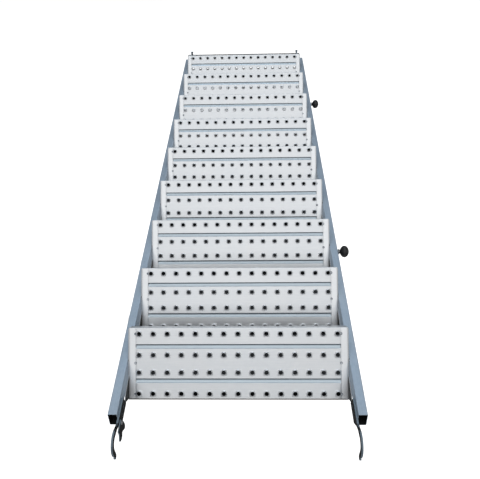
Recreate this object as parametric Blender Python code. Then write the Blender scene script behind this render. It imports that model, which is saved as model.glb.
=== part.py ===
"""Steel scaffold stair flight: two box stringers, nine plank treads and claw hooks at both ends.

The flight is modelled as it is used. +Z is up, +X is the right-hand stringer, and the stair climbs
towards -Y. The origin is the middle of the upper ledger tube that the top hooks hang on.

Most steel parts are laid out in a slope frame whose x is the world's X, whose y runs down the
stair and whose z is normal to the stringers' upper faces. Its origin is where the top tread's
walking surface meets that upper face.
"""
import math

import bmesh
import bpy
from mathutils import Matrix

# Overall layout
TREAD_COUNT = 9
RISE = 0.200
GOING = 0.200
STEPS_PER_LIFT = TREAD_COUNT + 1
LIFT = STEPS_PER_LIFT * RISE
RUN = STEPS_PER_LIFT * GOING
SLOPE = math.atan2(RISE, GOING)
GAP = 0.0003

# Round seats in the hooks for 48.3 mm ledger tubes
SEAT_RADIUS = 0.0255
SEAT_DOWN = -0.272
SEAT_NORMAL = -0.0345

# Stringers: open rectangular tube
STRINGER_WIDTH = 0.030
STRINGER_DEPTH = 0.050
STRINGER_WALL = 0.0025
STRINGER_CORNER = 0.003
STRINGER_INNER_X = 0.3755
STRINGER_OUTER_X = STRINGER_INNER_X + STRINGER_WIDTH
STRINGER_TOP_DOWN = -0.200
STRINGER_BOTTOM_PAST_TREAD = 0.195
STRINGER_END_CUT = math.radians(9.0)

# Treads: folded sheet planks
TREAD_HALF_WIDTH = 0.3722
TREAD_DEPTH = 0.2443
TREAD_NOSING = 0.1090
TREAD_HEIGHT = 0.045
TREAD_SHEET = 0.0018
TREAD_BEND = 0.0035
TREAD_LIP = 0.030
GROOVE_OFFSET = 0.058
GROOVE_WIDTH = 0.0160
GROOVE_FLOOR = 0.0115
GROOVE_DEPTH = 0.0040
GROOVE_END_X = 0.3475
GROOVE_END_RAMP = 0.0020

# End brackets that join each tread to a stringer
BRACKET_FLANGE_X = 0.3500
BRACKET_FLANGE_SHEET = 0.0025
BRACKET_FLANGE_INSET = 0.006
BRACKET_INSET = 0.003
BRACKET_BOTTOM_INSET = 0.001
BRACKET_TOP_DROP = 0.0005
BRACKET_LAP_HEIGHT = 0.044
BRACKET_LAP_FRONT = -0.108
BRACKET_LAP_FOOT = -0.054

# Claw hooks
HOOK_PLATE = 0.006
HOOK_OUTER_X = STRINGER_INNER_X - GAP
HOOK_INNER_X = HOOK_OUTER_X - HOOK_PLATE
HOOK_TOP_EDGE = -0.012
HOOK_BOTTOM_EDGE = -0.060
CLAW_OUTER_RADIUS = 0.0427
CLAW_TIP_DROP = 0.033
STRAP_END_LOW = -0.146
STRAP_END_HIGH = -0.136
SHOULDER_START = -0.050
SHOULDER_END = -0.036
SHOULDER_RISE = 0.006
CLAW_JAW = ((-0.030, 0.0195), (-0.046, 0.009))
CLAW_JAW_FOOT = -0.077
NOSE_PAD_WIDTH = 0.014
NOSE_PAD_RADIUS = 0.0055
NOSE_PAD_ANGLE = math.radians(62.0)
RIVET_RADIUS = 0.004
RIVET_HEAD_RADIUS = 0.0075
RIVET_HEAD_HEIGHT = 0.0034
RIVET_SIDES = 12
HOOK_RIVETS_DOWN = (-0.154, -0.180)
RIVET_NORMAL = -0.033

# Swivel lock plate on the left top hook
LATCH_PLATE = 0.004
LATCH_PIVOT_DOWN = -0.210
LATCH_PIVOT_NORMAL = -0.033
LATCH_BOSS_RADIUS = 0.0125
LATCH_SEAT_GAP = 0.001
LATCH_FINGER = ((-0.0480, -0.0290), (-0.0455, -0.0345), (-0.0360, -0.0405), (-0.0250, -0.0410))
LATCH_NOTCH = ((-0.0150, -0.0330), (-0.0080, -0.0370), (0.0010, -0.0480))
LATCH_TAB = ((0.0090, -0.0530), (0.0155, -0.0520), (0.0180, -0.0450), (0.0175, -0.0310))
COUNTERSINK_RADIUS = 0.0065
COUNTERSINK_DEPTH = 0.0022

# Hand-rail clamp screws on the right stringer
CLAMPS_DOWN = {"upper": 0.549, "lower": 1.834}
CLAMP_NORMAL = -STRINGER_DEPTH / 2
STUD_RADIUS = 0.006
STUD_BORE_RADIUS = STUD_RADIUS + GAP
INSERT_BARREL_RADIUS = 0.008
INSERT_FLANGE_RADIUS = 0.0098
INSERT_FLANGE = 0.0015
INSERT_LENGTH = 0.0120
WASHER_RADIUS = 0.0125
WASHER_THICKNESS = 0.0025
CLAMP_OPEN_GAP = 0.0045
KNOB_RADIUS = 0.0252
KNOB_NECK_RADIUS = 0.0085
KNOB_NECK_LENGTH = 0.0042
KNOB_HEAD_LENGTH = 0.0370
STUD_INNER_END = 0.0090

# Where the top tread meets the stringers' upper faces, in world coordinates
CROSSING_Y = -(SEAT_DOWN * math.cos(SLOPE) + SEAT_NORMAL * math.sin(SLOPE))
CROSSING_Z = SEAT_DOWN * math.sin(SLOPE) - SEAT_NORMAL * math.cos(SLOPE)
BOTTOM_SEAT_DOWN = SEAT_DOWN + math.hypot(LIFT, RUN)
LOWEST_TREAD_DOWN = (TREAD_COUNT - 1) * math.hypot(RISE, GOING)

SIDES = {"left": -1.0, "right": 1.0}


# ---------------------------------------------------------------- materials

def steel(name, colour, roughness, metallic):
    material = bpy.data.materials.new(name)
    material.use_nodes = True
    shader = material.node_tree.nodes["Principled BSDF"]
    shader.inputs["Base Color"].default_value = (*colour, 1.0)
    shader.inputs["Roughness"].default_value = roughness
    shader.inputs["Metallic"].default_value = metallic
    material.diffuse_color = (*colour, 1.0)
    return material


def zinc_sheet():
    return steel("zinc_sheet", (0.80, 0.82, 0.84), 0.45, 0.6)


def zinc_tube():
    return steel("zinc_tube", (0.42, 0.48, 0.56), 0.45, 0.7)


def dark_plate():
    return steel("dark_plate", (0.05, 0.06, 0.06), 0.50, 0.5)


def bright_steel():
    return steel("bright_steel", (0.62, 0.64, 0.66), 0.35, 0.9)


def black_plastic():
    return steel("black_plastic", (0.02, 0.02, 0.02), 0.35, 0.0)


# ---------------------------------------------------------------- mesh helpers

def finish_mesh(bm, name, smooth_angle=None):
    """Close off a bmesh as a mesh datablock with its faces pointing out."""
    bmesh.ops.recalc_face_normals(bm, faces=bm.faces[:])
    mesh = bpy.data.meshes.new(name)
    bm.to_mesh(mesh)
    bm.free()
    if smooth_angle is not None:
        mesh.shade_smooth()
        mesh.set_sharp_from_angle(angle=math.radians(smooth_angle))
    return mesh


def prism(bm, outline, x_low, x_high):
    """Extrude an outline of (y, z) points along X."""
    low = [bm.verts.new((x_low, y, z)) for y, z in outline]
    high = [bm.verts.new((x_high, y, z)) for y, z in outline]
    bm.faces.new(low)
    bm.faces.new(high)
    skin_between(bm, low, high)


def skin_between(bm, ring_a, ring_b):
    """Join two closed rings of the same number of vertices with quads."""
    count = len(ring_a)
    for i in range(count):
        j = (i + 1) % count
        bm.faces.new((ring_a[i], ring_a[j], ring_b[j], ring_b[i]))


def lathe(bm, profile, segments, closed=False):
    """Turn (x, radius) points about the X axis. Points of zero radius become one vertex."""
    rings = []
    for x, radius in profile:
        if radius == 0.0:
            rings.append([bm.verts.new((x, 0.0, 0.0))])
            continue
        ring = []
        for i in range(segments):
            angle = 2.0 * math.pi * i / segments
            ring.append(bm.verts.new((x, radius * math.cos(angle), radius * math.sin(angle))))
        rings.append(ring)
    pairs = list(zip(rings, rings[1:]))
    if closed:
        pairs.append((rings[-1], rings[0]))
    for ring_a, ring_b in pairs:
        if len(ring_a) == 1:
            fan_from(bm, ring_a[0], ring_b)
        elif len(ring_b) == 1:
            fan_from(bm, ring_b[0], ring_a)
        else:
            skin_between(bm, ring_a, ring_b)


def fan_from(bm, tip, ring):
    for i in range(len(ring)):
        bm.faces.new((tip, ring[i], ring[(i + 1) % len(ring)]))


def arc(centre, radius, start_deg, end_deg, steps):
    """Points on an arc in the (y, z) plane, both ends included."""
    points = []
    for i in range(steps + 1):
        angle = math.radians(start_deg + (end_deg - start_deg) * i / steps)
        points.append((centre[0] + radius * math.cos(angle), centre[1] + radius * math.sin(angle)))
    return points


def rounded_rectangle(width, height, radius, steps=3):
    """Corner-rounded rectangle about the origin, as (x, z) points."""
    corners = ((1, 1, 0), (-1, 1, 90), (-1, -1, 180), (1, -1, 270))
    points = []
    for sign_x, sign_z, start in corners:
        centre = (sign_x * (width / 2 - radius), sign_z * (height / 2 - radius))
        points += arc(centre, radius, start, start + 90, steps)
    return points


def offset_path(path, distance):
    """Shift an open path sideways by a distance, to its left, with mitred corners."""
    normals = []
    for (y0, z0), (y1, z1) in zip(path, path[1:]):
        length = math.hypot(y1 - y0, z1 - z0)
        normals.append(((z0 - z1) / length, (y1 - y0) / length))
    shifted = []
    for i, (y, z) in enumerate(path):
        before = normals[max(i - 1, 0)]
        after = normals[min(i, len(normals) - 1)]
        dot = before[0] * after[0] + before[1] * after[1]
        scale = distance / (1.0 + dot)
        shifted.append((y + (before[0] + after[0]) * scale, z + (before[1] + after[1]) * scale))
    return shifted


# ---------------------------------------------------------------- object helpers

def add_object(name, mesh, material=None, parent=None, location=(0.0, 0.0, 0.0)):
    obj = bpy.data.objects.new(name, mesh)
    bpy.context.scene.collection.objects.link(obj)
    obj.parent = parent
    obj.location = location
    if material is not None and not mesh.materials:
        mesh.materials.append(material)
    return obj


def add_cutter(name, mesh, parent, location):
    cutter = add_object(name, mesh, parent=parent, location=location)
    cutter.hide_render = True
    cutter.display_type = "WIRE"
    return cutter


def boolean(obj, cutter, operation="DIFFERENCE"):
    modifier = obj.modifiers.new(operation.lower() + "_" + cutter.name, "BOOLEAN")
    modifier.operation = operation
    modifier.object = cutter
    modifier.solver = "EXACT"


def rod_mesh(name, radius, x_low, x_high, segments=16):
    bm = bmesh.new()
    lathe(bm, [(x_low, 0.0), (x_low, radius), (x_high, radius), (x_high, 0.0)], segments)
    return finish_mesh(bm, name, 40)


def mirrored(mesh, name):
    """A copy of a mesh reflected in X, with its faces still pointing out."""
    bm = bmesh.new()
    bm.from_mesh(mesh)
    bmesh.ops.transform(bm, matrix=Matrix.Scale(-1.0, 4, (1.0, 0.0, 0.0)), verts=bm.verts[:])
    copy = finish_mesh(bm, name)
    for material in mesh.materials:
        copy.materials.append(material)
    return copy


def both_sides(mesh):
    """The right-hand mesh and its mirror image, keyed by side."""
    return {"left": mirrored(mesh, mesh.name + "_left"), "right": mesh}


# ---------------------------------------------------------------- stringers

def stringer_mesh():
    """Open tube centred on x, its upper face on z = 0, its top end cut slightly off square."""
    bm = bmesh.new()
    wall = STRINGER_WALL
    outer = rounded_rectangle(STRINGER_WIDTH, STRINGER_DEPTH, STRINGER_CORNER)
    inner = rounded_rectangle(STRINGER_WIDTH - 2 * wall, STRINGER_DEPTH - 2 * wall, 0.001)
    bottom = LOWEST_TREAD_DOWN + STRINGER_BOTTOM_PAST_TREAD
    rings = {}
    for end in ("top", "bottom"):
        for loop_name, loop in (("outer", outer), ("inner", inner)):
            ring = []
            for x, z in loop:
                normal = z - STRINGER_DEPTH / 2
                down = bottom
                if end == "top":
                    down = STRINGER_TOP_DOWN + normal * math.tan(STRINGER_END_CUT)
                ring.append(bm.verts.new((x, down, normal)))
            rings[end, loop_name] = ring
    skin_between(bm, rings["top", "outer"], rings["bottom", "outer"])
    skin_between(bm, rings["bottom", "inner"], rings["top", "inner"])
    skin_between(bm, rings["top", "inner"], rings["top", "outer"])
    skin_between(bm, rings["bottom", "outer"], rings["bottom", "inner"])
    return finish_mesh(bm, "stringer", 35)


def make_stringers(slope):
    mesh = stringer_mesh()
    material = zinc_tube()
    stringers = {}
    for side, sign in SIDES.items():
        place = (sign * (STRINGER_INNER_X + STRINGER_WIDTH / 2), 0.0, 0.0)
        stringers[side] = add_object("stringer_" + side, mesh, material, slope, place)
    return stringers


# ---------------------------------------------------------------- treads

def tread_path(groove_depth):
    """Outer line of the folded sheet, from the back lip over the top to the nosing lip."""
    nosing = TREAD_NOSING
    back = TREAD_NOSING - TREAD_DEPTH
    middle = (nosing + back) / 2
    bend = TREAD_BEND
    path = [(back + TREAD_LIP, -TREAD_HEIGHT), (back, -TREAD_HEIGHT)]
    path += arc((back + bend, -bend), bend, 180, 90, 3)
    for centre in (middle - GROOVE_OFFSET, middle + GROOVE_OFFSET):
        path.append((centre - GROOVE_WIDTH / 2, 0.0))
        path.append((centre - GROOVE_FLOOR / 2, -groove_depth))
        path.append((centre + GROOVE_FLOOR / 2, -groove_depth))
        path.append((centre + GROOVE_WIDTH / 2, 0.0))
    path += arc((nosing - bend, -bend), bend, 90, 0, 3)
    path += [(nosing, -TREAD_HEIGHT), (nosing - TREAD_LIP, -TREAD_HEIGHT)]
    return path


def tread_mesh():
    """Folded channel plank with two pressed grooves that stop short of its ends."""
    bm = bmesh.new()
    groove_start = GROOVE_END_X
    groove_full = GROOVE_END_X - GROOVE_END_RAMP
    half = TREAD_HALF_WIDTH
    stations = [(-half, 0.0), (-groove_start, 0.0), (-groove_full, GROOVE_DEPTH)]
    stations += [(-x, depth) for x, depth in reversed(stations)]
    rings = []
    for x, depth in stations:
        path = tread_path(depth)
        section = path + offset_path(path, -TREAD_SHEET)[::-1]
        rings.append([bm.verts.new((x, y, z)) for y, z in section])
    for ring_a, ring_b in zip(rings, rings[1:]):
        skin_between(bm, ring_a, ring_b)
    bm.faces.new(rings[0])
    bm.faces.new(rings[-1])
    return finish_mesh(bm, "tread", 25)


def tread_place(number):
    """World position of the line where a tread meets the stringers; tread 1 is the lowest."""
    steps_down = TREAD_COUNT - number
    return (0.0, CROSSING_Y + steps_down * GOING, CROSSING_Z - steps_down * RISE)


def make_treads():
    mesh = tread_mesh()
    material = zinc_sheet()
    for number in range(1, TREAD_COUNT + 1):
        add_object(f"tread_{number}", mesh, material, location=tread_place(number))


# ---------------------------------------------------------------- tread brackets

def bracket_outline():
    """Side plate: it closes the tread's end and laps up over the stringer's inner face."""
    bottom = -TREAD_HEIGHT + BRACKET_BOTTOM_INSET
    top = -BRACKET_TOP_DROP
    back = TREAD_NOSING - TREAD_DEPTH + BRACKET_INSET
    front = TREAD_NOSING - BRACKET_INSET
    return [
        (front, bottom),
        (back, bottom),
        (back, BRACKET_LAP_HEIGHT),
        (BRACKET_LAP_FRONT, BRACKET_LAP_HEIGHT),
        (BRACKET_LAP_FOOT, top),
        (front, top),
    ]


def bracket_mesh():
    bm = bmesh.new()
    plate_inner = TREAD_HALF_WIDTH + GAP
    prism(bm, bracket_outline(), plate_inner, STRINGER_INNER_X - GAP)
    return finish_mesh(bm, "bracket")


def bracket_flange_mesh():
    """Flange turned in from the side plate under the tread's walking surface."""
    bm = bmesh.new()
    back = TREAD_NOSING - TREAD_DEPTH + TREAD_SHEET + BRACKET_FLANGE_INSET
    front = TREAD_NOSING - TREAD_SHEET - BRACKET_FLANGE_INSET
    top = -TREAD_SHEET - GAP
    outline = [(back, top), (front, top), (front, top - BRACKET_FLANGE_SHEET)]
    outline.append((back, top - BRACKET_FLANGE_SHEET))
    prism(bm, outline, BRACKET_FLANGE_X, TREAD_HALF_WIDTH + 2 * GAP)
    return finish_mesh(bm, "bracket_flange")


def make_brackets():
    material = dark_plate()
    plates = both_sides(bracket_mesh())
    flanges = both_sides(bracket_flange_mesh())
    for number in range(1, TREAD_COUNT + 1):
        for side in SIDES:
            place = tread_place(number)
            name = f"tread_{number}_bracket_{side}"
            plate = add_object(name, plates[side], material, location=place)
            flange = add_cutter(f"flange_{number}_{side}", flanges[side], None, place)
            boolean(plate, flange, "UNION")


# ---------------------------------------------------------------- hooks

def claw_outline():
    """Hook plate in slope coordinates measured from the tube seat, towards the beak as +y.

    The strap runs back along the stringer, the throat is open below, and the beak wraps the tube.
    """
    seat = SEAT_RADIUS
    outer = CLAW_OUTER_RADIUS
    top = HOOK_TOP_EDGE - SEAT_NORMAL
    bottom = HOOK_BOTTOM_EDGE - SEAT_NORMAL
    arm = outer - seat
    outline = [(STRAP_END_LOW, bottom), (STRAP_END_HIGH, top), (SHOULDER_START, top)]
    outline.append((SHOULDER_END, top + SHOULDER_RISE))
    outline += arc((0.0, 0.0), outer, 122, -30, 14)
    tip_centre = (seat + arm / 2, -CLAW_TIP_DROP + arm / 2)
    outline += arc(tip_centre, arm / 2, -15, -180, 6)
    outline += arc((0.0, 0.0), seat, 0, 112, 9)
    outline += [*CLAW_JAW, (CLAW_JAW_FOOT, bottom)]
    return outline


def hook_mesh(name, direction):
    """Hook plate; direction +1 points its beak down the stair and -1 points it up."""
    bm = bmesh.new()
    outline = [(direction * y, z) for y, z in claw_outline()]
    prism(bm, outline, HOOK_INNER_X, HOOK_OUTER_X)
    return finish_mesh(bm, name, 30)


def nose_pad_mesh():
    """Short round bar across the lower hook's beak, which spreads its load on the tube's guard."""
    bm = bmesh.new()
    middle = (HOOK_INNER_X + HOOK_OUTER_X) / 2
    half = NOSE_PAD_WIDTH / 2
    profile = [(middle - half, 0.0), (middle - half, NOSE_PAD_RADIUS)]
    profile += [(middle + half, NOSE_PAD_RADIUS), (middle + half, 0.0)]
    lathe(bm, profile, 12)
    return finish_mesh(bm, "nose_pad", 40)


def rivet_mesh():
    """Round-head rivet through the hook plate and both walls of the stringer."""
    bm = bmesh.new()
    inner = HOOK_INNER_X - GAP
    outer = STRINGER_OUTER_X + GAP
    head = RIVET_HEAD_RADIUS
    rise = RIVET_HEAD_HEIGHT
    dome = [(1.0, 0.0), (0.85, 0.55), (0.35, 0.92)]
    profile = [(inner - rise * lift, head * spread) for lift, spread in dome]
    profile += [(inner, head), (inner, RIVET_RADIUS), (outer, RIVET_RADIUS), (outer, head)]
    profile += [(outer + rise * lift, head * spread) for lift, spread in reversed(dome)]
    lathe(bm, profile, RIVET_SIDES)
    return finish_mesh(bm, "hook_rivet", 40)


def make_hook_pair(slope, stringers, end, seat_down, direction, rivet_downs):
    """A pair of hooks at one end of the flight, with their rivets and rivet holes."""
    plates = both_sides(hook_mesh(end + "_hook", direction))
    rivets = both_sides(rivet_mesh())
    hole_radius = RIVET_RADIUS + GAP
    far = 0.010
    low = HOOK_INNER_X - far
    drill = rod_mesh("rivet_drill", hole_radius, low, STRINGER_OUTER_X + far, RIVET_SIDES)
    drills = both_sides(drill)
    plate_material = dark_plate()
    rivet_material = bright_steel()
    hooks = {}
    for side in SIDES:
        place = (0.0, seat_down, SEAT_NORMAL)
        hook = add_object(f"{end}_hook_{side}", plates[side], plate_material, slope, place)
        for index, down in enumerate(rivet_downs, start=1):
            place = (0.0, down, RIVET_NORMAL)
            name = f"{end}_hook_rivet_{side}_{index}"
            add_object(name, rivets[side], rivet_material, slope, place)
            cutter = add_cutter("drill_" + name, drills[side], slope, place)
            boolean(hook, cutter)
            boolean(stringers[side], cutter)
        hooks[side] = hook
    return hooks


def make_top_hooks(slope, stringers):
    return make_hook_pair(slope, stringers, "top", SEAT_DOWN, -1.0, HOOK_RIVETS_DOWN)


def make_bottom_hooks(slope, stringers):
    """The lower pair mirrors the upper pair about the middle of the flight."""
    middle = (SEAT_DOWN + BOTTOM_SEAT_DOWN) / 2
    downs = tuple(2 * middle - down for down in HOOK_RIVETS_DOWN)
    hooks = make_hook_pair(slope, stringers, "bottom", BOTTOM_SEAT_DOWN, 1.0, downs)
    pads = both_sides(nose_pad_mesh())
    reach = CLAW_OUTER_RADIUS - NOSE_PAD_RADIUS * 0.6
    down = BOTTOM_SEAT_DOWN + reach * math.cos(NOSE_PAD_ANGLE)
    normal = SEAT_NORMAL + reach * math.sin(NOSE_PAD_ANGLE)
    for side, hook in hooks.items():
        pad = add_cutter(f"nose_pad_{side}", pads[side], slope, (0.0, down, normal))
        boolean(hook, pad, "UNION")


# ---------------------------------------------------------------- lock plate

def latch_outline():
    """Lock plate about its pivot: seat edge by the tube, finger below it, thumb tab at the back."""
    seat = (SEAT_DOWN - LATCH_PIVOT_DOWN, SEAT_NORMAL - LATCH_PIVOT_NORMAL)
    outline = arc((0.0, 0.0), LATCH_BOSS_RADIUS, -10, 120, 8)
    outline += arc(seat, SEAT_RADIUS + LATCH_SEAT_GAP, 22, -54, 7)
    outline += [*LATCH_FINGER, *LATCH_NOTCH, *LATCH_TAB]
    return outline


def make_latch(slope, top_hook):
    """Swivel lock plate on the inner side of the left top hook, with its shoulder rivet."""
    outer = HOOK_INNER_X - GAP
    inner = outer - LATCH_PLATE
    pivot = (0.0, LATCH_PIVOT_DOWN, LATCH_PIVOT_NORMAL)
    bm = bmesh.new()
    prism(bm, latch_outline(), -outer, -inner)
    latch = add_object("latch", finish_mesh(bm, "latch", 30), dark_plate(), slope, pivot)

    bm = bmesh.new()
    head = RIVET_HEAD_RADIUS
    shank = RIVET_RADIUS
    rise = RIVET_HEAD_HEIGHT
    back = -HOOK_OUTER_X
    sunk = back + COUNTERSINK_DEPTH
    face = -inner + GAP
    profile = [(back, 0.0), (back, COUNTERSINK_RADIUS), (sunk, shank), (face, shank), (face, head)]
    profile += [(face + rise * 0.6, head * 0.8), (face + rise, head * 0.45), (face + rise, 0.0)]
    lathe(bm, profile, 16)
    rivet = finish_mesh(bm, "latch_pivot", 40)
    add_object("latch_pivot", rivet, bright_steel(), slope, pivot)

    bm = bmesh.new()
    bore = shank + GAP
    mouth = COUNTERSINK_RADIUS + GAP
    profile = [(back - 0.01, 0.0), (back - 0.01, mouth), (back, mouth), (sunk, bore)]
    profile += [(face + 0.01, bore), (face + 0.01, 0.0)]
    lathe(bm, profile, 16)
    cutter = add_cutter("drill_latch", finish_mesh(bm, "pivot_drill"), slope, pivot)
    boolean(latch, cutter)
    boolean(top_hook, cutter)


# ---------------------------------------------------------------- clamp screws

def insert_mesh():
    """Threaded insert set in the stringer's outer wall, with its flange outside."""
    bm = bmesh.new()
    face = STRINGER_OUTER_X + GAP
    profile = [(face - INSERT_LENGTH, STUD_BORE_RADIUS), (face - INSERT_LENGTH, INSERT_BARREL_RADIUS)]
    profile += [(face, INSERT_BARREL_RADIUS), (face, INSERT_FLANGE_RADIUS)]
    profile += [(face + INSERT_FLANGE, INSERT_FLANGE_RADIUS), (face + INSERT_FLANGE, STUD_BORE_RADIUS)]
    lathe(bm, profile, 20, closed=True)
    return finish_mesh(bm, "rail_clamp_insert", 35)


def washer_mesh(x_low):
    bm = bmesh.new()
    x_high = x_low + WASHER_THICKNESS
    profile = [(x_low, STUD_BORE_RADIUS), (x_low, WASHER_RADIUS)]
    profile += [(x_high, WASHER_RADIUS), (x_high, STUD_BORE_RADIUS)]
    lathe(bm, profile, 20, closed=True)
    return finish_mesh(bm, "rail_clamp_washer", 35)


def knob_mesh(x_low):
    """Round-headed knob on a short neck, bored from below for its stud."""
    bm = bmesh.new()
    head = x_low + KNOB_NECK_LENGTH
    top = head + KNOB_HEAD_LENGTH
    bore_end = head + 0.5 * KNOB_HEAD_LENGTH
    radius = KNOB_RADIUS
    profile = [(bore_end, 0.0), (bore_end, STUD_BORE_RADIUS), (x_low, STUD_BORE_RADIUS)]
    profile += [(x_low, KNOB_NECK_RADIUS), (head, KNOB_NECK_RADIUS)]
    half = KNOB_HEAD_LENGTH / 2
    for angle in (-62, -40, -20, 0, 20, 40, 58, 74):
        lift = half * math.sin(math.radians(angle))
        profile.append((head + half + lift, radius * math.cos(math.radians(angle))))
    profile.append((top, 0.0))
    lathe(bm, profile, 20)
    return finish_mesh(bm, "rail_clamp_knob", 35)


def stud_mesh(x_knob):
    """Plain stand-in for the M12 stud: from inside the knob to inside the stringer."""
    end = x_knob + KNOB_NECK_LENGTH + 0.5 * KNOB_HEAD_LENGTH - GAP
    return rod_mesh("rail_clamp_stud", STUD_RADIUS, STRINGER_OUTER_X - STUD_INNER_END, end, 20)


def make_rail_clamps(slope, stringer):
    """Two hand-rail clamp screws: insert, captive washer, stud and knob on one cross axis."""
    insert = insert_mesh()
    washer_low = STRINGER_OUTER_X + GAP + INSERT_FLANGE + CLAMP_OPEN_GAP
    washer = washer_mesh(washer_low)
    knob_low = washer_low + WASHER_THICKNESS + GAP
    knob = knob_mesh(knob_low)
    stud = stud_mesh(knob_low)
    hole = INSERT_BARREL_RADIUS + GAP
    drill = rod_mesh("insert_drill", hole, STRINGER_OUTER_X - 0.010, STRINGER_OUTER_X + 0.010, 20)
    metal = bright_steel()
    plastic = black_plastic()
    for level, down in CLAMPS_DOWN.items():
        place = (0.0, down, CLAMP_NORMAL)
        add_object(f"rail_clamp_insert_{level}", insert, metal, slope, place)
        add_object(f"rail_clamp_washer_{level}", washer, metal, slope, place)
        add_object(f"rail_clamp_stud_{level}", stud, metal, slope, place)
        add_object(f"rail_clamp_knob_{level}", knob, plastic, slope, place)
        cutter = add_cutter("drill_insert_" + level, drill, slope, place)
        boolean(stringer, cutter)


# ---------------------------------------------------------------- assembly

def clear_scene():
    for obj in list(bpy.data.objects):
        bpy.data.objects.remove(obj, do_unlink=True)


def make_slope_frame():
    frame = bpy.data.objects.new("slope_frame", None)
    bpy.context.scene.collection.objects.link(frame)
    frame.location = (0.0, CROSSING_Y, CROSSING_Z)
    frame.rotation_euler = (-SLOPE, 0.0, 0.0)
    return frame


def main():
    clear_scene()
    slope = make_slope_frame()
    stringers = make_stringers(slope)
    make_treads()
    make_brackets()
    top_hooks = make_top_hooks(slope, stringers)
    make_bottom_hooks(slope, stringers)
    make_latch(slope, top_hooks["left"])
    make_rail_clamps(slope, stringers["right"])
    bpy.context.view_layer.update()


main()
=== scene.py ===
"""Finish, fine detail, light and camera for the steel scaffold stair flight.

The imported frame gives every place. Each tread is rebuilt as a pressed and perforated sheet, the
turned parts are rebuilt round and threaded, welds are added, and every surface gets its finish.
+Z is up, +X is the right-hand stringer and the flight climbs towards -Y.
"""
import math
import random

import bmesh
import bpy
from mathutils import Matrix, Vector


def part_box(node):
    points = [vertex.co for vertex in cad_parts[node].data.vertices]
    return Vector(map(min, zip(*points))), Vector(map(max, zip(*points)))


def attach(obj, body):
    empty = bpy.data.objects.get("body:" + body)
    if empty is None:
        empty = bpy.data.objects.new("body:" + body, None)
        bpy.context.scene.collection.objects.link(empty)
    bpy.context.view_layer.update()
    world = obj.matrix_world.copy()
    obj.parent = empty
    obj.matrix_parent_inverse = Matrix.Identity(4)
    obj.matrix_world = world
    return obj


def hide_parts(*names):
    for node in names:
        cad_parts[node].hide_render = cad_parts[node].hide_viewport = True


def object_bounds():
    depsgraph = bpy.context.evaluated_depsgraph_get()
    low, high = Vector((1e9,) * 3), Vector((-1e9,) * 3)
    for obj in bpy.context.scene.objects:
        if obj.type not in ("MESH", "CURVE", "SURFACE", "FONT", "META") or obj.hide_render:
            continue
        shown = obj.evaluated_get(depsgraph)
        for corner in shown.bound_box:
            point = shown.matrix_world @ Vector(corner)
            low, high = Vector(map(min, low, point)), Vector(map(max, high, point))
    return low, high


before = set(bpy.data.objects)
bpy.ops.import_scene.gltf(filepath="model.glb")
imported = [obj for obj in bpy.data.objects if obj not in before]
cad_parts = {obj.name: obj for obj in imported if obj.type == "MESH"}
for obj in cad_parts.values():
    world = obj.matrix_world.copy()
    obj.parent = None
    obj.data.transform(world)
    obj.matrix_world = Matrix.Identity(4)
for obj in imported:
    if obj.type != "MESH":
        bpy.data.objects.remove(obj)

CAD_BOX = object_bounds()
ROOT = "stair_flight"

# Treads
TREAD_COUNT = 9
SHEET = 0.0018
TREAD_BEND = 0.0035
LIP_BEND = 0.0025
LIP = 0.030
BEND_STEPS = 5

# Raised drain holes
HOLES_PER_ROW = 15
HOLE_PITCH = 0.0482
HOLE_ROWS = (-0.1009, -0.0296, 0.0296, 0.1009)
CELL_HALF = 0.0125
CELL_STEPS = 6
DIMPLE_BASE = 0.0109
DIMPLE_RIM = 0.0073
DIMPLE_HEIGHT = 0.0034
DIMPLE_RINGS = 7

# Pressed grooves and end seams
GROOVES = (-0.058, 0.058)
GROOVE_HALF = 0.0080
GROOVE_FRONT_WALL = 0.0044
GROOVE_BACK_WALL = 0.0016
GROOVE_FLOOR_TILT = 0.12
GROOVE_SPACING = 0.116
# Reach of the painted shade on each groove's front wall, and how far inside the groove's edge it stops
GROOVE_SHADE_END = 0.0032
GROOVE_SHADE_MARGIN = 0.0006
GROOVE_DEPTH = 0.0038
GROOVE_EDGE_STEPS = 5
GROOVE_END = 0.3478
GROOVE_END_RAMP = 0.0022
EDGE_LINE = 0.0005
SEAM_X = 0.3496
SEAM_HALF = 0.0006
SEAM_DEPTH = 0.0007
STRIP_LINES = (0.3550, 0.3610, 0.3660)
END_ROLL = 0.0012
STRIP_SAG = 0.0001
# Where the darker brown line along the back edge starts and where it is full
BACK_EDGE_TINT_START = -0.1163
BACK_EDGE_TINT_FULL = -0.1178

# Weld marks
RING_WELDS_Y = (0.1009, 0.0019, -0.1030)
RING_WELD_RADIUS = 0.0041
RING_WELD_TUBE = 0.0009
BEAD_RADIUS = 0.0022
BEAD_SINK = 0.0002
BEAD_FROM_BACK = 0.1353
BEAD_DROP = 0.0015
BEAD_BEHIND = 0.006
BEAD_AHEAD = 0.012

# Hook rivets
RIVET_RISE = 0.0034
RIVET_SHANK = 0.004

# Stringers: middle and half size of the tube's bore, across the flight and square to the slope; painted
# shade colours the bore near black
TUBE_MIDDLE_X = 0.3905
TUBE_MIDDLE_N = 0.0095
BORE_HALF_X = 0.01375
BORE_HALF_N = 0.02375

# Clamp screws
THREAD_PITCH = 0.00175
THREAD_DEPTH = 0.0009
THREAD_TAPER = 0.0012
BORE_RADIUS = 0.0063
INSERT_FLANGE = 0.0015
INSERT_BARREL_RADIUS = 0.008
KNOB_NECK = 0.0042
KNOB_NECK_RADIUS = 0.0085
KNOB_LOBES = 14
KNOB_LOBE_DEPTH = 0.0011

# Camera, from the middle hole of the top tread's front row
CAMERA_OFFSET = Vector((0.0539, 0.2537, 1.7283))
CAMERA_TURN = Vector((0.03866, 0.02590, -0.00659))
CAMERA_LENS = 37.86
SENSOR_WIDTH = 36.0

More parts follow.
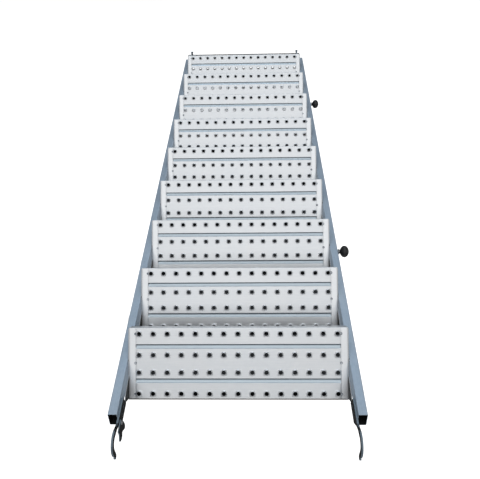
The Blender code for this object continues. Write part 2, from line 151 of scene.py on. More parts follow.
# Stage
FLOOR_SIZE = 60.0
FLOOR_BOUNCE = (0.14, 0.14, 0.14)
FLOOR_GLOW = 0.95
GLOW_START = 1.6
GLOW_FULL = 4.5
WORLD_DIM = (0.016, 0.018, 0.020)
WORLD_MIRRORED = (0.21, 0.22, 0.23)

# Lights: distances and sizes in metres, powers in watts
WHITE = (1.0, 1.0, 1.0)
COOL = (0.82, 0.91, 1.0)
TOP_PANEL_AHEAD = 1.5
TOP_PANEL_HEIGHT = 9.0
TOP_PANEL_SIZE = (12.0, 12.0)
TOP_PANEL_POWER = 505.0
FRONT_PANEL_PLACE = (0.0, 8.0, 1.5)
FRONT_PANEL_POWER = 140.0
BACK_PANEL_PLACE = (0.0, -6.0, -0.5)
BACK_PANEL_POWER = 60.0
END_PANEL_SIZE = (6.0, 4.0)
SIDE_PANEL_X = 7.0
SIDE_PANEL_HEIGHT = 0.5
SIDE_PANEL_SIZE = (5.0, 5.0)
SIDE_PANEL_POWER = 60.0
FLOOR_LAMP_OFFSET = Vector((0.0, -0.07, 0.0))
FLOOR_LAMP_POWER = 900.0
FLOOR_LAMP_RADIUS = 0.02


# ---------------------------------------------------------------- mesh helpers

def smoothstep(t):
    t = min(max(t, 0.0), 1.0)
    return t * t * (3.0 - 2.0 * t)


def finish_mesh(bm, name, material, sharp_angle=38.0):
    """Turn a bmesh into a smooth-shaded mesh with sharp edges where it folds hard."""
    mesh = bpy.data.meshes.new(name)
    bm.to_mesh(mesh)
    bm.free()
    mesh.shade_smooth()
    mesh.set_sharp_from_angle(angle=math.radians(sharp_angle))
    mesh.materials.append(material)
    return mesh


def add_piece(name, mesh, place, body, replaced=()):
    """Put a piece in the scene, on a body, standing for the CAD nodes it replaces."""
    obj = bpy.data.objects.new(name, mesh)
    bpy.context.scene.collection.objects.link(obj)
    obj.location = place
    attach(obj, body)
    if replaced:
        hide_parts(*replaced)
    return obj


def skin_rings(bm, rings, closed=True):
    """Join neighbouring rings of vertices with quads."""
    for ring_a, ring_b in zip(rings, rings[1:]):
        count = len(ring_a)
        for i in range(count if closed else count - 1):
            j = (i + 1) % count
            bm.faces.new((ring_a[i], ring_a[j], ring_b[j], ring_b[i]))


def lathe_x(bm, profile, segments, close_low=True, close_high=True, shape=None):
    """Turn (x, radius) points about the X axis; shape may vary the radius round the axis."""
    rings = []
    for x, radius in profile:
        ring = []
        for i in range(segments):
            angle = 2.0 * math.pi * i / segments
            r = radius if shape is None else shape(x, radius, angle)
            ring.append(bm.verts.new((x, r * math.cos(angle), r * math.sin(angle))))
        rings.append(ring)
    skin_rings(bm, rings)
    if close_low:
        bm.faces.new(rings[0][::-1])
    if close_high:
        bm.faces.new(rings[-1])
    return rings


def chamfered(points, size):
    """Cut each inner corner of an open (x, radius) profile by a small flat."""
    out = [points[0]]
    for before, here, after in zip(points, points[1:], points[2:]):
        for other in (before, after):
            length = math.hypot(other[0] - here[0], other[1] - here[1])
            t = min(size / length, 0.45)
            out.append((here[0] + (other[0] - here[0]) * t, here[1] + (other[1] - here[1]) * t))
    out.append(points[-1])
    return out


# ---------------------------------------------------------------- node helpers

def new_material(name):
    material = bpy.data.materials.new(name)
    material.use_nodes = True
    return material, material.node_tree, material.node_tree.nodes["Principled BSDF"]


def add_node(tree, kind, inputs=None, **settings):
    """Add a node. An input may be given as a value or as another node's output."""
    node = tree.nodes.new(kind)
    for key, value in settings.items():
        setattr(node, key, value)
    for key, value in (inputs or {}).items():
        if isinstance(value, bpy.types.NodeSocket):
            tree.links.new(value, node.inputs[key])
        else:
            node.inputs[key].default_value = value
    return node


def surface_coords(tree, scale=(1.0, 1.0, 1.0), tilt=0.0, per_piece=False):
    """Object coordinates, turned about X by tilt, stretched, and shifted from piece to piece."""
    vector = add_node(tree, "ShaderNodeTexCoord").outputs["Object"]
    if per_piece:
        info = add_node(tree, "ShaderNodeObjectInfo")
        vector = add_node(tree, "ShaderNodeVectorMath", {0: vector, 1: info.outputs["Location"]}).outputs[0]
    turned = add_node(tree, "ShaderNodeMapping", {"Vector": vector, "Rotation": (tilt, 0.0, 0.0)})
    return add_node(tree, "ShaderNodeMapping", {"Vector": turned.outputs[0], "Scale": scale}).outputs[0]


def noise(tree, vector, scale, detail=3.0, roughness=0.55, distortion=0.0):
    inputs = {"Vector": vector, "Scale": scale, "Detail": detail, "Roughness": roughness}
    inputs["Distortion"] = distortion
    return add_node(tree, "ShaderNodeTexNoise", inputs).outputs["Fac"]


def remap(tree, value, from_low, from_high, to_low, to_high):
    inputs = {"Value": value, "From Min": from_low, "From Max": from_high}
    inputs.update({"To Min": to_low, "To Max": to_high})
    return add_node(tree, "ShaderNodeMapRange", inputs).outputs[0]


def maths(tree, operation, a, b):
    return add_node(tree, "ShaderNodeMath", {0: a, 1: b}, operation=operation).outputs[0]


def total(tree, a, b):
    return maths(tree, "ADD", a, b)


def scaled(tree, value, factor):
    return maths(tree, "MULTIPLY", value, factor)


def magnitude(tree, value):
    return maths(tree, "ABSOLUTE", value, 0.0)


def blend_colours(tree, factor, colour_a, colour_b):
    node = add_node(tree, "ShaderNodeMix", data_type="RGBA")
    for index, value in ((0, factor), (6, colour_a), (7, colour_b)):
        if isinstance(value, bpy.types.NodeSocket):
            tree.links.new(value, node.inputs[index])
        elif index == 0:
            node.inputs[index].default_value = value
        else:
            node.inputs[index].default_value = (*value, 1.0)
    return node.outputs[2]


def set_bump(tree, shader, height, strength, distance):
    inputs = {"Height": height, "Strength": strength, "Distance": distance}
    bump = add_node(tree, "ShaderNodeBump", inputs)
    tree.links.new(bump.outputs[0], shader.inputs["Normal"])


# ---------------------------------------------------------------- materials

def groove_shades(tree, place):
    """How far a point of the sheet lies in a groove, and how far on the groove's front wall; both masks
    carry painted shade.
    """
    grooved = maths(tree, "LESS_THAN", magnitude(tree, place.outputs["X"]), GROOVE_END)
    shifted = total(tree, place.outputs["Y"], GROOVE_SPACING)
    across = maths(tree, "FLOORED_MODULO", shifted, GROOVE_SPACING)
    across = maths(tree, "SUBTRACT", across, GROOVE_SPACING / 2)
    edge = GROOVE_HALF - GROOVE_SHADE_MARGIN
    wall = remap(tree, across, GROOVE_HALF - GROOVE_FRONT_WALL, GROOVE_HALF - GROOVE_SHADE_END, 0.0, 1.0)
    wall = scaled(tree, wall, maths(tree, "LESS_THAN", across, edge))
    pressed = maths(tree, "LESS_THAN", magnitude(tree, across), edge)
    return scaled(tree, pressed, grooved), scaled(tree, wall, grooved)


def sheet_zinc():
    """Bright galvanised sheet: rolling lines and clouding, painted shade in the grooves, painted light on
    the end strips, and a darker brown line along the back edge.
    """
    material, tree, shader = new_material("zinc_sheet_bright")
    even = surface_coords(tree, per_piece=True)
    rolled = surface_coords(tree, scale=(2.0, 90.0, 90.0), per_piece=True)
    clouds = noise(tree, even, 9.0, 4.0, 0.6, 0.6)
    lines = noise(tree, rolled, 6.0, 3.0)
    grain = noise(tree, even, 700.0, 2.0)
    tone = total(tree, scaled(tree, clouds, 0.6), scaled(tree, lines, 0.4))
    tone = remap(tree, tone, 0.30, 0.70, 0.0, 1.0)
    colour = blend_colours(tree, tone, (0.70, 0.725, 0.75), (0.83, 0.84, 0.85))
    place = add_node(tree, "ShaderNodeSeparateXYZ", {0: surface_coords(tree)})
    groove, wall = groove_shades(tree, place)
    # Painted shade: the whole groove is coloured blue-grey.
    colour = blend_colours(tree, groove, colour, (0.53, 0.61, 0.67))
    # Painted shade: the groove's front wall is coloured dark.
    colour = blend_colours(tree, wall, colour, (0.16, 0.19, 0.22))
    upper = maths(tree, "GREATER_THAN", place.outputs["Z"], -TREAD_BEND)
    # Painted light: the end strips beyond the seams are lightened towards white on the walking surface.
    strip = maths(tree, "GREATER_THAN", magnitude(tree, place.outputs["X"]), SEAM_X)
    strip = scaled(tree, scaled(tree, strip, upper), 0.45)
    colour = blend_colours(tree, strip, colour, (0.95, 0.96, 0.97))
    # Darker brown along the back edge of the walking surface, with a ragged edge.
    ragged = total(tree, place.outputs["Y"], scaled(tree, clouds, 0.001))
    back_edge_tint = remap(tree, ragged, BACK_EDGE_TINT_START, BACK_EDGE_TINT_FULL, 0.0, 1.0)
    colour = blend_colours(tree, scaled(tree, back_edge_tint, upper), colour, (0.085, 0.062, 0.055))
    tree.links.new(colour, shader.inputs["Base Color"])
    rough = remap(tree, total(tree, clouds, grain), 0.6, 1.4, 0.34, 0.46)
    tree.links.new(rough, shader.inputs["Roughness"])
    shader.inputs["Metallic"].default_value = 0.72
    height = total(tree, scaled(tree, lines, 0.5), scaled(tree, grain, 0.5))
    set_bump(tree, shader, height, 0.12, 0.0002)
    return material


def sheet_inside():
    """Dull zinc of the sheet's inner side and cut edges, near black all over as painted shade, in blotches.
    """
    material, tree, shader = new_material("zinc_sheet_inside")
    even = surface_coords(tree, per_piece=True)
    inside_blotches = noise(tree, even, 30.0, 5.0, 0.65, 0.5)
    grain = noise(tree, even, 500.0, 2.0)
    blotch_share = remap(tree, inside_blotches, 0.35, 0.70, 0.0, 1.0)
    # Painted shade: both colours are near black on the inner side and cut edges.
    colour = blend_colours(tree, blotch_share, (0.030, 0.032, 0.034), (0.085, 0.088, 0.092))
    tree.links.new(colour, shader.inputs["Base Color"])
    tree.links.new(remap(tree, grain, 0.3, 0.7, 0.55, 0.80), shader.inputs["Roughness"])
    shader.inputs["Metallic"].default_value = 0.2
    set_bump(tree, shader, total(tree, inside_blotches, scaled(tree, grain, 0.4)), 0.25, 0.0004)
    return material


def tube_zinc():
    """Dull blue-grey galvanised tube: faint spangle, long streaks, and painted shade colouring the bore
    near black.
    """
    material, tree, shader = new_material("zinc_tube_dull")
    along = math.radians(45.0)
    even = surface_coords(tree, tilt=along)
    streaked = surface_coords(tree, scale=(60.0, 1.6, 60.0), tilt=along)
    spangle = add_node(tree, "ShaderNodeTexVoronoi", {"Vector": even, "Scale": 85.0})
    flake = remap(tree, spangle.outputs["Distance"], 0.0, 0.8, 0.0, 1.0)
    streaks = noise(tree, streaked, 4.0, 4.0)
    clouds = noise(tree, even, 5.0, 4.0, 0.6, 0.8)
    tone = total(tree, scaled(tree, streaks, 0.55), scaled(tree, clouds, 0.45))
    tone = remap(tree, total(tree, tone, scaled(tree, flake, 0.12)), 0.35, 0.75, 0.0, 1.0)
    colour = blend_colours(tree, tone, (0.375, 0.475, 0.585), (0.525, 0.625, 0.725))
    split = add_node(tree, "ShaderNodeSeparateXYZ", {0: even})
    aside = maths(tree, "SUBTRACT", magnitude(tree, split.outputs["X"]), TUBE_MIDDLE_X)
    deep = maths(tree, "SUBTRACT", split.outputs["Z"], TUBE_MIDDLE_N)
    bore = maths(tree, "LESS_THAN", magnitude(tree, aside), BORE_HALF_X)
    bore = scaled(tree, bore, maths(tree, "LESS_THAN", magnitude(tree, deep), BORE_HALF_N))
    # Painted shade: inside the bore the tube is coloured near black.
    colour = blend_colours(tree, bore, colour, (0.012, 0.013, 0.015))
    tree.links.new(colour, shader.inputs["Base Color"])
    tree.links.new(remap(tree, streaks, 0.3, 0.7, 0.40, 0.56), shader.inputs["Roughness"])
    shader.inputs["Metallic"].default_value = 0.4
    set_bump(tree, shader, total(tree, streaks, flake), 0.10, 0.0002)
    return material


def dark_steel(name, up_face_colour):
    """Dark steel, rubbed paler in patches; near black where it doesn't face up as painted shade, and a
    paler colour where it faces up as painted light.
    """
    material, tree, shader = new_material(name)
    even = surface_coords(tree)
    patches = noise(tree, even, 45.0, 5.0, 0.65, 0.4)
    grain = noise(tree, even, 900.0, 2.0)
    rubbed = remap(tree, patches, 0.50, 0.74, 0.0, 1.0)
    # Painted shade: near black on every face that doesn't point up.
    colour = blend_colours(tree, rubbed, (0.006, 0.008, 0.009), (0.020, 0.024, 0.026))
    facing = add_node(tree, "ShaderNodeTexCoord").outputs["Normal"]
    upward = add_node(tree, "ShaderNodeSeparateXYZ", {0: facing}).outputs["Z"]
    # Painted light: faces that point up turn to the paler colour.
    painted_top_light = remap(tree, total(tree, upward, scaled(tree, patches, 0.3)), 0.40, 0.60, 0.0, 1.0)
    colour = blend_colours(tree, painted_top_light, colour, up_face_colour)
    tree.links.new(colour, shader.inputs["Base Color"])
    rough = remap(tree, total(tree, patches, grain), 0.6, 1.4, 0.42, 0.60)
    tree.links.new(rough, shader.inputs["Roughness"])
    shader.inputs["Metallic"].default_value = 0.2
    shader.inputs["Specular IOR Level"].default_value = 0.25
    set_bump(tree, shader, total(tree, patches, scaled(tree, grain, 0.4)), 0.18, 0.0003)
    return material


def plated_steel():
    """Zinc-plated fastener steel, blotchy and finely grained."""
    material, tree, shader = new_material("bright_steel_plated")
    even = surface_coords(tree)
    blotches = noise(tree, even, 120.0, 3.0)
    fine = noise(tree, even, 1500.0, 2.0)
    share = remap(tree, blotches, 0.3, 0.7, 0.0, 1.0)
    colour = blend_colours(tree, share, (0.46, 0.48, 0.50), (0.66, 0.67, 0.67))
    tree.links.new(colour, shader.inputs["Base Color"])
    tree.links.new(remap(tree, fine, 0.3, 0.7, 0.24, 0.40), shader.inputs["Roughness"])
    shader.inputs["Metallic"].default_value = 0.9
    set_bump(tree, shader, fine, 0.10, 0.0001)
    return material


def moulded_plastic():
    """Black moulded plastic with a fine spark texture and slightly chalky patches."""
    material, tree, shader = new_material("black_plastic_moulded")
    even = surface_coords(tree)
    spark = noise(tree, even, 1200.0, 2.0)
    chalk = noise(tree, even, 60.0, 4.0, 0.6)
    share = remap(tree, chalk, 0.4, 0.75, 0.0, 1.0)
    colour = blend_colours(tree, share, (0.012, 0.012, 0.013), (0.032, 0.032, 0.034))
    tree.links.new(colour, shader.inputs["Base Color"])
    tree.links.new(remap(tree, spark, 0.3, 0.7, 0.30, 0.48), shader.inputs["Roughness"])
    set_bump(tree, shader, spark, 0.25, 0.0002)
    return material


def weld_metal():
    """Weld metal: rippled, heat-tinted and a little darker than the zinc round it."""
    material, tree, shader = new_material("weld_metal")
    even = surface_coords(tree, per_piece=True)
    ripple = noise(tree, even, 420.0, 3.0)
    tint = noise(tree, even, 130.0, 3.0)
    share = remap(tree, tint, 0.35, 0.65, 0.0, 1.0)
    colour = blend_colours(tree, share, (0.13, 0.15, 0.18), (0.60, 0.63, 0.66))
    tree.links.new(colour, shader.inputs["Base Color"])
    tree.links.new(remap(tree, ripple, 0.3, 0.7, 0.30, 0.50), shader.inputs["Roughness"])
    shader.inputs["Metallic"].default_value = 0.85
    set_bump(tree, shader, ripple, 0.4, 0.0004)
    return material


# ---------------------------------------------------------------- treads

def arc_points(centre_y, centre_z, radius, start_deg, end_deg, steps):
    """Points on an arc in the tread's cross-section, both ends included."""
    points = []
    for i in range(steps + 1):
        angle = math.radians(start_deg + (end_deg - start_deg) * i / steps)
        points.append((centre_y + radius * math.cos(angle), centre_z + radius * math.sin(angle)))
    return points


def hole_columns():
    middle = (HOLES_PER_ROW - 1) / 2
    return [(i - middle) * HOLE_PITCH for i in range(HOLES_PER_ROW)]


def flat_lines(flat_half):
    """Lines across the walking surface, from back to nosing: cell edges and groove edges."""
    lines = [-flat_half, EDGE_LINE - flat_half, flat_half - EDGE_LINE, flat_half, 0.0]
    for row in HOLE_ROWS:
        lines += [row + CELL_HALF * (2.0 * i / CELL_STEPS - 1.0) for i in range(CELL_STEPS + 1)]
    for groove in GROOVES:
        for i in range(GROOVE_EDGE_STEPS + 1):
            t = i / GROOVE_EDGE_STEPS
            lines.append(groove + GROOVE_HALF - GROOVE_FRONT_WALL * t)
            lines.append(groove - GROOVE_HALF + GROOVE_BACK_WALL * t)
        lines += [groove - GROOVE_HALF - EDGE_LINE, groove, groove + GROOVE_HALF + EDGE_LINE]
    return sorted(lines)


def cross_lines(half_width):
    """Lines along the walking surface, from left to right: cell edges, groove ends, end seams."""
    lines = []
    for column in hole_columns():
        lines += [column + CELL_HALF * (2.0 * i / CELL_STEPS - 1.0) for i in range(CELL_STEPS + 1)]
    ramp = GROOVE_END_RAMP
    ends = [GROOVE_END, SEAM_X - SEAM_HALF, SEAM_X, SEAM_X + SEAM_HALF]
    ends += [GROOVE_END + ramp * (i / 4 - 1.0) for i in range(4)]
    ends += [*STRIP_LINES, half_width - END_ROLL, half_width - END_ROLL * 0.4, half_width]
    outer_cell = hole_columns()[-1] + CELL_HALF
    lines += [x for x in ends if x > outer_cell + 1e-5]
    lines += [-x for x in ends if x > outer_cell + 1e-5]
    return sorted(lines)


def groove_dip(x, y):
    """How far the sheet is pressed down by a groove at a point of the walking surface."""
    length_share = smoothstep((GROOVE_END - abs(x)) / GROOVE_END_RAMP)
    dip = 0.0
    for groove in GROOVES:
        across = y - groove
        front = (GROOVE_HALF - across) / GROOVE_FRONT_WALL
        back = (GROOVE_HALF + across) / GROOVE_BACK_WALL
        lean = 1.0 - GROOVE_FLOOR_TILT * (1.0 - min(across / (GROOVE_HALF - GROOVE_FRONT_WALL), 1.0))
        dip += GROOVE_DEPTH * smoothstep(min(front, back)) * lean * length_share
    return dip


def surface_height(x, y, half_width, half_depth):
    """Height of the walking surface: grooves, end seams, rolled ends and the end strips' sag."""
    height = -groove_dip(x, y)
    if abs(abs(x) - SEAM_X) < SEAM_HALF * 0.5:
        height -= SEAM_DEPTH
    strip = max(0.0, abs(x) - SEAM_X) / (half_width - SEAM_X)
    backness = smoothstep((0.4 * half_depth - y) / (1.3 * half_depth))
    height -= STRIP_SAG * strip * strip * backness
    roll = max(0.0, abs(x) - (half_width - END_ROLL)) / END_ROLL
    height -= 0.4 * END_ROLL * roll * roll
    return height


def dimple_height(t):
    """Height along a dimple's flank: 0 at its base, 1 at its rim, with a fillet and a rounded rim."""
    return DIMPLE_HEIGHT * (smoothstep(t) * 0.55 + math.sin(t * math.pi / 2) * 0.45 * smoothstep(3 * t))


def tread_skin(half_width, half_depth, height):
    """Outer skin of one tread, about the middle of its walking surface, holes included."""
    bm = bmesh.new()
    flat_half = half_depth - TREAD_BEND
    back_up = arc_points(-half_depth + LIP_BEND, -height + LIP_BEND, LIP_BEND, 270, 180, 3)
    back_over = arc_points(-flat_half, -TREAD_BEND, TREAD_BEND, 180, 90, BEND_STEPS)
    front_over = arc_points(flat_half, -TREAD_BEND, TREAD_BEND, 90, 0, BEND_STEPS)
    front_under = arc_points(half_depth - LIP_BEND, -height + LIP_BEND, LIP_BEND, 360, 270, 3)
    before = [(-half_depth + LIP, -height), *back_up, *back_over[:-1]]
    after = [*front_over[1:], *front_under, (half_depth - LIP, -height)]
    flats = flat_lines(flat_half)
    columns = cross_lines(half_width)

    grid = []
    for x in columns:
        line = [bm.verts.new((x, y, z)) for y, z in before]
        line += [bm.verts.new((x, y, surface_height(x, y, half_width, half_depth))) for y in flats]
        line += [bm.verts.new((x, y, z)) for y, z in after]
        grid.append(line)

    in_cell = set()
    cells = []
    for column in hole_columns():
        i0 = min(range(len(columns)), key=lambda i: abs(columns[i] - (column - CELL_HALF)))
        for row in HOLE_ROWS:
            j0 = min(range(len(flats)), key=lambda j: abs(flats[j] - (row - CELL_HALF))) + len(before)
            cells.append((column, row, i0, j0))
            in_cell.update((i0 + a, j0 + b) for a in range(CELL_STEPS) for b in range(CELL_STEPS))

    for i in range(len(columns) - 1):
        for j in range(len(grid[0]) - 1):
            if (i, j) not in in_cell:
                bm.faces.new((grid[i][j], grid[i + 1][j], grid[i + 1][j + 1], grid[i][j + 1]))
    for column, row, i0, j0 in cells:
        add_dimple(bm, grid, column, row, i0, j0)
    loose = [v for v in bm.verts if not v.link_faces]
    bmesh.ops.delete(bm, geom=loose, context="VERTS")
    return bm


def add_dimple(bm, grid, column, row, i0, j0):
    """Fill one square cell of the grid with a raised, open dimple."""
    last = CELL_STEPS
    edge = [(i0 + k, j0) for k in range(last)]
    edge += [(i0 + last, j0 + k) for k in range(last)]
    edge += [(i0 + last - k, j0 + last) for k in range(last)]
    edge += [(i0, j0 + last - k) for k in range(last)]
    outer = [grid[i][j] for i, j in edge]
    angles = [math.atan2(v.co.y - row, v.co.x - column) for v in outer]
    rings = [outer]
    for k in range(DIMPLE_RINGS + 1):
        t = k / DIMPLE_RINGS
        radius = DIMPLE_BASE + (DIMPLE_RIM - DIMPLE_BASE) * t
        z = dimple_height(t)
        spots = [(column + radius * math.cos(a), row + radius * math.sin(a), z) for a in angles]
        rings.append([bm.verts.new(spot) for spot in spots])
    skin_rings(bm, rings)


def thicken(bm, name, material, inside):
    """Give the skin the sheet's thickness inwards, and return the finished mesh."""
    mesh = finish_mesh(bm, name + "_skin", material)
    mesh.materials.append(inside)
    carrier = bpy.data.objects.new(name + "_carrier", mesh)
    bpy.context.scene.collection.objects.link(carrier)
    solid = carrier.modifiers.new("sheet", "SOLIDIFY")
    solid.thickness = SHEET
    solid.offset = -1.0
    solid.use_even_offset = True
    solid.material_offset = 1
    solid.material_offset_rim = 1
    graph = bpy.context.evaluated_depsgraph_get()
    result = bpy.data.meshes.new_from_object(carrier.evaluated_get(graph))
    result.name = name
    bpy.data.objects.remove(carrier)
    bpy.data.meshes.remove(mesh)
    result.set_sharp_from_angle(angle=math.radians(38.0))
    return result


def ring_weld(bm, centre, radius, tube):
    """Plug weld seen as a low ring with a slightly domed middle."""
    profile = [(radius + tube, -0.0002), (radius + 0.6 * tube, 0.7 * tube), (radius, tube)]
    profile += [(radius - 0.8 * tube, 0.5 * tube), (radius * 0.55, 0.1 * tube), (radius * 0.25, 0.5 * tube)]
    rings = []
    for r, z in profile:
        ring = []
        for i in range(16):
            angle = 2.0 * math.pi * i / 16
            ring.append(bm.verts.new((centre[0] + r * math.cos(angle), centre[1] + r * math.sin(angle), z)))
        rings.append(ring)
    skin_rings(bm, rings)
    bm.faces.new(rings[-1])


def tread_weld_mesh(material):
    """The three plug welds at each end of a tread, about the middle of its walking surface."""
    bm = bmesh.new()
    for side in (-1.0, 1.0):
        for y in RING_WELDS_Y:
            ring_weld(bm, (side * SEAM_X, y), RING_WELD_RADIUS, RING_WELD_TUBE)
    return finish_mesh(bm, "tread_welds", material)


def make_treads(zinc, inside, weld):
    low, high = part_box("tread_9")
    half_width = (high.x - low.x) / 2
    half_depth = (high.y - low.y) / 2
    skin = tread_skin(half_width, half_depth, high.z - low.z)
    sheet = thicken(skin, "tread_sheet", zinc, inside)
    welds = tread_weld_mesh(weld)
    for number in range(1, TREAD_COUNT + 1):
        node = f"tread_{number}"
        low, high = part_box(node)
        place = ((low.x + high.x) / 2, (low.y + high.y) / 2, high.z)
        add_piece(node + "_sheet", sheet, place, ROOT, (node,))
        add_piece(node + "_plug_welds", welds, place, ROOT)


# ---------------------------------------------------------------- weld beads

def bead_mesh(name, start, end, radius, material, seed):
    """Rippled weld bead along a straight line."""
    rng = random.Random(seed)
    axis = Vector(end) - Vector(start)
    length = axis.length
    turn = axis.to_track_quat("Z", "Y").to_matrix()
    steps = max(6, int(length / 0.0018))
    bm = bmesh.new()
    rings = []
    for k in range(steps + 1):
        t = k / steps
        swell = math.sin(math.pi * min(max(t, 0.03), 0.97)) ** 0.35
        r = radius * swell * (1.0 + 0.10 * (-1) ** k + rng.uniform(-0.06, 0.06))
        ring = []
        for i in range(10):
            angle = 2.0 * math.pi * i / 10
            point = turn @ Vector((r * math.cos(angle), r * math.sin(angle), length * t))
            ring.append(bm.verts.new(point + Vector(start)))
        rings.append(ring)
    skin_rings(bm, rings)
    bm.faces.new(rings[0][::-1])
    bm.faces.new(rings[-1])
    return finish_mesh(bm, name, material, 60.0)


def make_beads(weld):
    """Short beads where each tread's bracket laps onto the stringer beside the walking surface."""
    for number in range(1, TREAD_COUNT + 1):
        for sign, side in ((-1.0, "left"), (1.0, "right")):
            low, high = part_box(f"tread_{number}")
            tube_low, tube_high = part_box("stringer_" + side)
            edge = tube_low.x if side == "right" else tube_high.x
            x = edge - sign * BEAD_SINK
            z = high.z
            y = low.y + BEAD_FROM_BACK
            start = (x, y - BEAD_BEHIND, z - BEAD_DROP + BEAD_BEHIND)
            end = (x, y + BEAD_AHEAD, z - BEAD_DROP - BEAD_AHEAD)
            mesh = bead_mesh("bead", start, end, BEAD_RADIUS, weld, number * 2 + (side == "left"))
            add_piece(f"tread_{number}_bead_{side}", mesh, (0.0, 0.0, 0.0), ROOT)


# ---------------------------------------------------------------- turned parts

def centre_of(node):
    low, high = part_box(node)
    return (low + high) / 2, (high - low) / 2


def make_rivets(steel):
    """Round-headed rivets through each hook and its stringer."""
    for end in ("top", "bottom"):
        for side in ("left", "right"):
            for index in (1, 2):
                node = f"{end}_hook_rivet_{side}_{index}"
                middle, half = centre_of(node)
                head = half.z
                rise = RIVET_RISE
                shank = RIVET_SHANK
                cap = []
                for k in range(7):
                    angle = math.pi / 2 * k / 6
                    cap.append((half.x - rise + rise * math.cos(angle), head * math.sin(angle) + 1e-5))
                profile = cap + [(half.x - rise - 0.0001, head * 0.97), (half.x - rise - 0.0001, shank)]
                mirrored = [(-x, r) for x, r in profile]
                bm = bmesh.new()
                lathe_x(bm, mirrored + profile[::-1], 28)
                mesh = finish_mesh(bm, node, steel)
                add_piece(node + "_round", mesh, middle, ROOT, (node,))


def make_inserts(steel):
    for level in ("upper", "lower"):
        node = f"rail_clamp_insert_{level}"
        middle, half = centre_of(node)
        barrel = INSERT_BARREL_RADIUS
        shoulder = half.x - INSERT_FLANGE
        outline = [(-half.x, BORE_RADIUS), (-half.x, barrel), (shoulder, barrel)]
        outline += [(shoulder, half.z), (half.x, half.z), (half.x, BORE_RADIUS)]
        bm = bmesh.new()
        profile = chamfered(outline, 0.0003)
        rings = lathe_x(bm, profile, 36, close_low=False, close_high=False)
        skin_rings(bm, [rings[-1], rings[0]])
        mesh = finish_mesh(bm, node, steel)
        add_piece(node + "_turned", mesh, middle, ROOT, (node,))


def make_washers(steel):
    for level in ("upper", "lower"):
        node = f"rail_clamp_washer_{level}"
        middle, half = centre_of(node)
        outline = [(-half.x, BORE_RADIUS), (-half.x, half.z)]
        outline += [(half.x, half.z), (half.x, BORE_RADIUS)]
        bm = bmesh.new()
        rings = lathe_x(bm, chamfered(outline, 0.0004), 40, close_low=False, close_high=False)
        skin_rings(bm, [rings[-1], rings[0]])
        mesh = finish_mesh(bm, node, steel)
        add_piece(node + "_turned", mesh, middle, f"washer_{level}", (node,))


def stud_mesh(name, half_length, radius, material):
    """Threaded stud: a right-hand helix along X with chamfered ends."""
    segments = 24
    pitch_steps = 4
    bm = bmesh.new()
    count = int(2 * half_length / THREAD_PITCH * pitch_steps)
    rings = []
    for k in range(count + 1):
        x = -half_length + 2 * half_length * k / count
        ring = []
        for i in range(segments):
            angle = 2.0 * math.pi * i / segments
            phase = (x / THREAD_PITCH - angle / (2.0 * math.pi)) % 1.0
            crest = abs(2.0 * phase - 1.0)
            end_gap = half_length - abs(x)
            taper = min(1.0, end_gap / THREAD_TAPER)
            r = radius - THREAD_DEPTH * (1.0 - crest) - THREAD_DEPTH * (1.0 - taper)
            ring.append(bm.verts.new((x, r * math.cos(angle), r * math.sin(angle))))
        rings.append(ring)
    skin_rings(bm, rings)
    bm.faces.new(rings[0][::-1])
    bm.faces.new(rings[-1])
    return finish_mesh(bm, name, material, 75.0)


def knob_mesh(name, half_length, radius, material):
    """Moulded knob: short neck with a ring, then a crowned head with shallow finger flutes."""
    neck_radius = KNOB_NECK_RADIUS
    head_low = -half_length + KNOB_NECK
    head_length = 2 * half_length - KNOB_NECK
    middle = head_low + head_length / 2
    profile = [(-half_length, BORE_RADIUS), (-half_length, neck_radius - 0.0006)]
    profile.append((-half_length + 0.0006, neck_radius))
    profile += [(head_low - 0.0012, neck_radius), (head_low - 0.0004, neck_radius + 0.0010)]
    for k in range(19):
        angle = math.radians(-64 + 142 * k / 18)
        profile.append((middle + head_length / 2 * math.sin(angle), radius * math.cos(angle)))
    profile.append((half_length, 0.003))

    def fluted(x, r, angle):
        share = max(0.0, 1.0 - abs(x - middle) / (0.42 * head_length))
        if x <= head_low or share <= 0.0:
            return r
        wave = 0.5 - 0.5 * math.cos(KNOB_LOBES * angle)
        return r - KNOB_LOBE_DEPTH * smoothstep(2 * share) * wave ** 2

    bm = bmesh.new()
    lathe_x(bm, profile, KNOB_LOBES * 8, close_low=False, shape=fluted)
    return finish_mesh(bm, name, material, 50.0)


def make_knobs(steel, plastic):
    for level in ("upper", "lower"):
        body = f"knob_{level}"
        node = f"rail_clamp_stud_{level}"
        middle, half = centre_of(node)
        mesh = stud_mesh(node, half.x, half.z, steel)
        add_piece(node + "_threaded", mesh, middle, body, (node,))
        node = f"rail_clamp_knob_{level}"
        middle, half = centre_of(node)
        mesh = knob_mesh(node, half.x, half.z, plastic)
        add_piece(node + "_moulded", mesh, middle, body, (node,))


# ---------------------------------------------------------------- CAD nodes that stay

def dress_node(name, material, bevel):
    """Give a CAD node its finish, and soften its edges."""
    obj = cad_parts[name]
    obj.data.materials.clear()
    obj.data.materials.append(material)
    weld = obj.modifiers.new("weld", "WELD")
    weld.merge_threshold = 0.00002
    rounding = obj.modifiers.new("bevel", "BEVEL")
    rounding.width = bevel
    rounding.segments = 2
    rounding.limit_method = "ANGLE"
    rounding.angle_limit = math.radians(40.0)
    rounding.harden_normals = True


def dress_frame(tube, plate, bracket, steel):
    for side in ("left", "right"):
        dress_node("stringer_" + side, tube, 0.0003)
        for end in ("top", "bottom"):
            dress_node(f"{end}_hook_{side}", plate, 0.0010)
        for number in range(1, TREAD_COUNT + 1):
            dress_node(f"tread_{number}_bracket_{side}", bracket, 0.0004)
    dress_node("latch", plate, 0.0008)
    dress_node("latch_pivot", steel, 0.0003)


# ---------------------------------------------------------------- stage, light and camera

